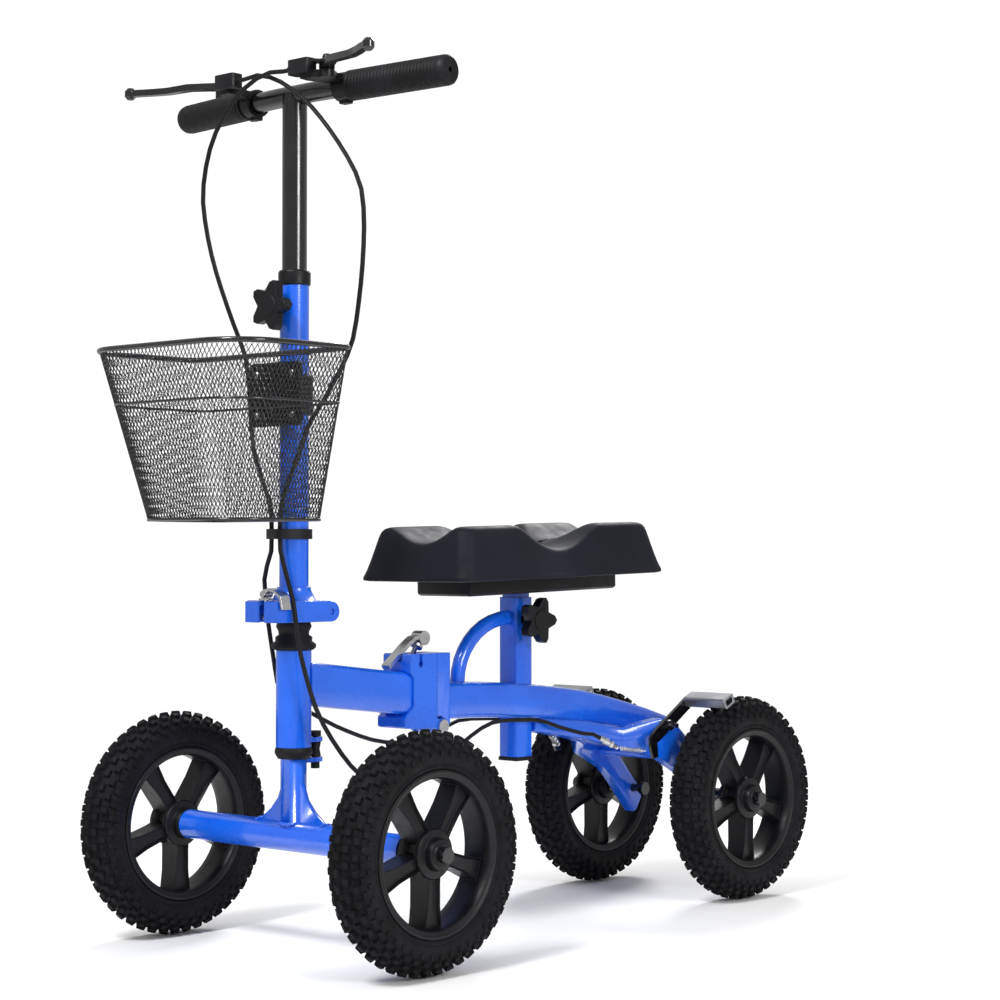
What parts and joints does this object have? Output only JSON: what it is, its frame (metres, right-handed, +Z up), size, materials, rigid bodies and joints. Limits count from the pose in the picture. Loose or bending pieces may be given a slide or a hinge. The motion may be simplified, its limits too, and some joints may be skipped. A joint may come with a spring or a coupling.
{
  "type": "knee scooter",
  "caption": "Folding knee scooter with a knee pad, steering column, wire basket, hand brakes and large wheels.",
  "frame": {"origin": "on the ground, under the middle of the outline at rest", "axes": "+X forwards, +Y to the rider's left, +Z up"},
  "size_m": [0.9744, 0.467, 0.9635],
  "materials": {
    "blue_paint": "gloss",
    "silver": "satin",
    "black_paint": "gloss",
    "black_plastic": "satin",
    "soft_rubber": "matte",
    "tyre_rubber": "matte",
    "aluminium": "satin",
    "pad_skin": "satin"
  },
  "bodies": {
    "rear_frame": {"rear_beam": "blue_paint", "rear_hinge_casting": "blue_paint", "seat_tube": "blue_paint", "seat_tube_cap": "black_plastic", "arch_tube": "blue_paint", "rear_fork": "blue_paint", "frame_hinge_pin": "silver", "frame_latch_bolt": "silver", "brake_bracket": "black_paint", "brake_spring_left": "silver", "brake_spring_right": "silver", "rear_axle_left": "silver", "rear_axle_right": "silver", "cable_adjuster_left": "silver", "cable_adjuster_right": "silver", "brake_cable_left": "soft_rubber", "brake_cable_right": "soft_rubber"},
    "front_frame": {"front_beam": "blue_paint", "head_tube": "blue_paint", "front_hinge_casting": "blue_paint", "headset_lower": "soft_rubber", "headset_boot": "soft_rubber", "steering_spring": "soft_rubber"},
    "steering": {"front_fork": "blue_paint", "front_axle": "silver", "column_hinge_base": "blue_paint"},
    "column": {"column_casting": "blue_paint", "column_tube": "blue_paint", "column_collar": "black_plastic", "basket_bracket": "black_plastic", "basket": "black_paint", "cable_clip": "black_plastic"},
    "column_latch": {"column_latch_bolt": "silver"},
    "column_latch_handle": {"column_latch_lever": "silver"},
    "frame_latch": {"frame_latch_lever": "silver"},
    "handlebar_group": {"stem_tube": "black_paint", "handlebar": "black_paint", "grip_left": "soft_rubber", "grip_right": "soft_rubber", "lever_mount_left": "black_plastic", "lever_mount_right": "black_plastic"},
    "brake_hand_left": {"brake_lever_left": "black_paint"},
    "brake_hand_right": {"brake_lever_right": "black_paint"},
    "column_knob_group": {"column_knob": "black_plastic"},
    "seat_knob_group": {"seat_knob": "black_plastic"},
    "seat": {"seat_post": "blue_paint", "seat_plate": "black_plastic", "knee_pad": "pad_skin"},
    "brake_left": {"brake_arm_left": "black_paint", "brake_bar_left": "aluminium"},
    "brake_right": {"brake_arm_right": "black_paint", "brake_bar_right": "aluminium"},
    "wheel_front_left": {"tyre_front_left": "tyre_rubber", "rim_front_left": "black_plastic"},
    "wheel_front_right": {"tyre_front_right": "tyre_rubber", "rim_front_right": "black_plastic"},
    "wheel_rear_left": {"tyre_rear_left": "tyre_rubber", "rim_rear_left": "black_plastic"},
    "wheel_rear_right": {"tyre_rear_right": "tyre_rubber", "rim_rear_right": "black_plastic"}
  },
  "joints": [
    {"name": "frame_fold", "type": "hinge", "parent": "rear_frame", "child": "front_frame", "pos_m": [0.07989, 0, 0.236], "axis": [0, 1, 0], "range_deg": [0, 112], "deforming": ["brake_cable_left", "brake_cable_right"]},
    {"name": "steering_turn", "type": "hinge", "parent": "front_frame", "child": "steering", "pos_m": [0.29019, 0, 0.224], "axis": [0, 0, 1], "range_deg": [-35, 35], "stiffness_Nm_per_rad": 3, "deforming": ["brake_cable_left", "brake_cable_right", "steering_spring"]},
    {"name": "column_fold", "type": "hinge", "parent": "steering", "child": "column", "pos_m": [0.25719, 0, 0.371], "axis": [0, 1, 0], "range_deg": [-104.5, 0], "deforming": ["brake_cable_left", "brake_cable_right"]},
    {"name": "column_latch_swing", "type": "hinge", "parent": "column", "child": "column_latch", "pos_m": [0.33019, 0, 0.366], "axis": [0, 1, 0], "range_deg": [0, 95]},
    {"name": "column_latch_cam", "type": "hinge", "parent": "column_latch", "child": "column_latch_handle", "pos_m": [0.33019, 0, 0.3905], "axis": [1, 0, 0], "range_deg": [0, 150]},
    {"name": "frame_latch_cam", "type": "hinge", "parent": "rear_frame", "child": "frame_latch", "pos_m": [0.09379, 0, 0.3369], "axis": [0, -1, 0], "range_deg": [0, 120]},
    {"name": "handlebar_height", "type": "slide", "parent": "column", "child": "handlebar_group", "axis": [0, 0, 1], "range_m": [-0.12, 0.05], "deforming": ["brake_cable_left", "brake_cable_right"]},
    {"name": "column_knob_turn", "type": "hinge", "parent": "column", "child": "column_knob_group", "pos_m": [0.29019, 0, 0.702], "axis": [1, 0, 0], "continuous": true},
    {"name": "seat_height", "type": "slide", "parent": "rear_frame", "child": "seat", "axis": [0, 0, 1], "range_m": [0, 0.12]},
    {"name": "seat_knob_turn", "type": "hinge", "parent": "rear_frame", "child": "seat_knob_group", "pos_m": [-0.06981, 0, 0.354], "axis": [0, 1, 0], "continuous": true},
    {"name": "brake_lever_left_pull", "type": "hinge", "parent": "handlebar_group", "child": "brake_hand_left", "pos_m": [0.32119, 0.084, 0.951], "axis": [0, 0, 1], "range_deg": [0, 20], "stiffness_Nm_per_rad": 0.6, "deforming": ["brake_cable_left", "brake_cable_right"]},
    {"name": "brake_arm_left_press", "type": "hinge", "parent": "rear_frame", "child": "brake_left", "pos_m": [-0.26081, 0.0795, 0.2212], "axis": [0, -1, 0], "range_deg": [0, 3.6], "deforming": ["brake_spring_left"]},
    {"name": "brake_lever_right_pull", "type": "hinge", "parent": "handlebar_group", "child": "brake_hand_right", "pos_m": [0.32119, -0.084, 0.951], "axis": [0, 0, -1], "range_deg": [0, 20], "stiffness_Nm_per_rad": 0.6, "deforming": ["brake_cable_left", "brake_cable_right"]},
    {"name": "brake_arm_right_press", "type": "hinge", "parent": "rear_frame", "child": "brake_right", "pos_m": [-0.26081, -0.0795, 0.2212], "axis": [0, -1, 0], "range_deg": [0, 3.6], "deforming": ["brake_spring_right"]},
    {"name": "wheel_front_left_roll", "type": "hinge", "parent": "steering", "child": "wheel_front_left", "pos_m": [0.29019, 0.2, 0.12689], "axis": [0, 1, 0], "continuous": true},
    {"name": "wheel_front_right_roll", "type": "hinge", "parent": "steering", "child": "wheel_front_right", "pos_m": [0.29019, -0.2, 0.12689], "axis": [0, 1, 0], "continuous": true},
    {"name": "wheel_rear_left_roll", "type": "hinge", "parent": "rear_frame", "child": "wheel_rear_left", "pos_m": [-0.36031, 0.119, 0.12689], "axis": [0, 1, 0], "continuous": true},
    {"name": "wheel_rear_right_roll", "type": "hinge", "parent": "rear_frame", "child": "wheel_rear_right", "pos_m": [-0.36031, -0.119, 0.12689], "axis": [0, 1, 0], "continuous": true}
  ],
  "couplings": [
    {"joint": "column_fold", "follows": "frame_fold", "ratio": -0.9286},
    {"joint": "brake_arm_left_press", "follows": "brake_lever_left_pull", "ratio": 0.18},
    {"joint": "brake_arm_right_press", "follows": "brake_lever_right_pull", "ratio": 0.18}
  ]
}
